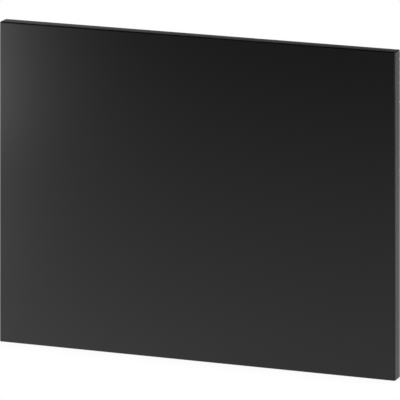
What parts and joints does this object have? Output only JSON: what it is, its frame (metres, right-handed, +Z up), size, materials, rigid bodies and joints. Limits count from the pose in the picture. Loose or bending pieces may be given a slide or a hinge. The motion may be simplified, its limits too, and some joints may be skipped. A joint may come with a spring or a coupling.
{
  "type": "kick plate",
  "caption": "Flat matte-black kick plate: an edge-banded laminated board with eased edges, held from behind by spring clips that slide in screwed brackets and snap round support legs.",
  "frame": {"origin": "centre of the bottom edge that stands on the floor: mid width, mid thickness, lowest height", "axes": "+X along the width, to the right as seen from in front of the face; +Y from the face towards the legs behind; +Z up"},
  "size_m": [0.597, 0.0673, 0.457],
  "materials": {
    "core_mdf": "raw medium-density fibreboard",
    "decor_black": "matte black decor laminate with a very fine grain",
    "backing_charcoal": "matte charcoal balancing laminate",
    "abs_edge": "matte black ABS edge band",
    "bracket_nylon": "moulded black nylon",
    "clip_nylon": "moulded dark grey nylon",
    "zinc_steel": "zinc-plated steel"
  },
  "bodies": {
    "panel": {"core_board": "core_mdf", "front_laminate": "decor_black", "back_laminate": "backing_charcoal", "edge_band_top": "abs_edge", "edge_band_bottom": "abs_edge", "edge_band_left": "abs_edge", "edge_band_right": "abs_edge", "clip_bracket_lower_left": "bracket_nylon", "clip_bracket_lower_right": "bracket_nylon", "clip_bracket_upper_left": "bracket_nylon", "clip_bracket_upper_right": "bracket_nylon", "bracket_screws": "zinc_steel"},
    "clip_lower_left": {"leg_clip_lower_left": "clip_nylon"},
    "clip_lower_right": {"leg_clip_lower_right": "clip_nylon"},
    "clip_upper_left": {"leg_clip_upper_left": "clip_nylon"},
    "clip_upper_right": {"leg_clip_upper_right": "clip_nylon"}
  },
  "joints": [
    {"name": "clip_slide_lower_left", "type": "slide", "parent": "panel", "child": "clip_lower_left", "axis": [1, 0, 0], "range_m": [-0.015, 0.015]},
    {"name": "clip_slide_lower_right", "type": "slide", "parent": "panel", "child": "clip_lower_right", "axis": [1, 0, 0], "range_m": [-0.015, 0.015]},
    {"name": "clip_slide_upper_left", "type": "slide", "parent": "panel", "child": "clip_upper_left", "axis": [1, 0, 0], "range_m": [-0.015, 0.015]},
    {"name": "clip_slide_upper_right", "type": "slide", "parent": "panel", "child": "clip_upper_right", "axis": [1, 0, 0], "range_m": [-0.015, 0.015]}
  ]
}
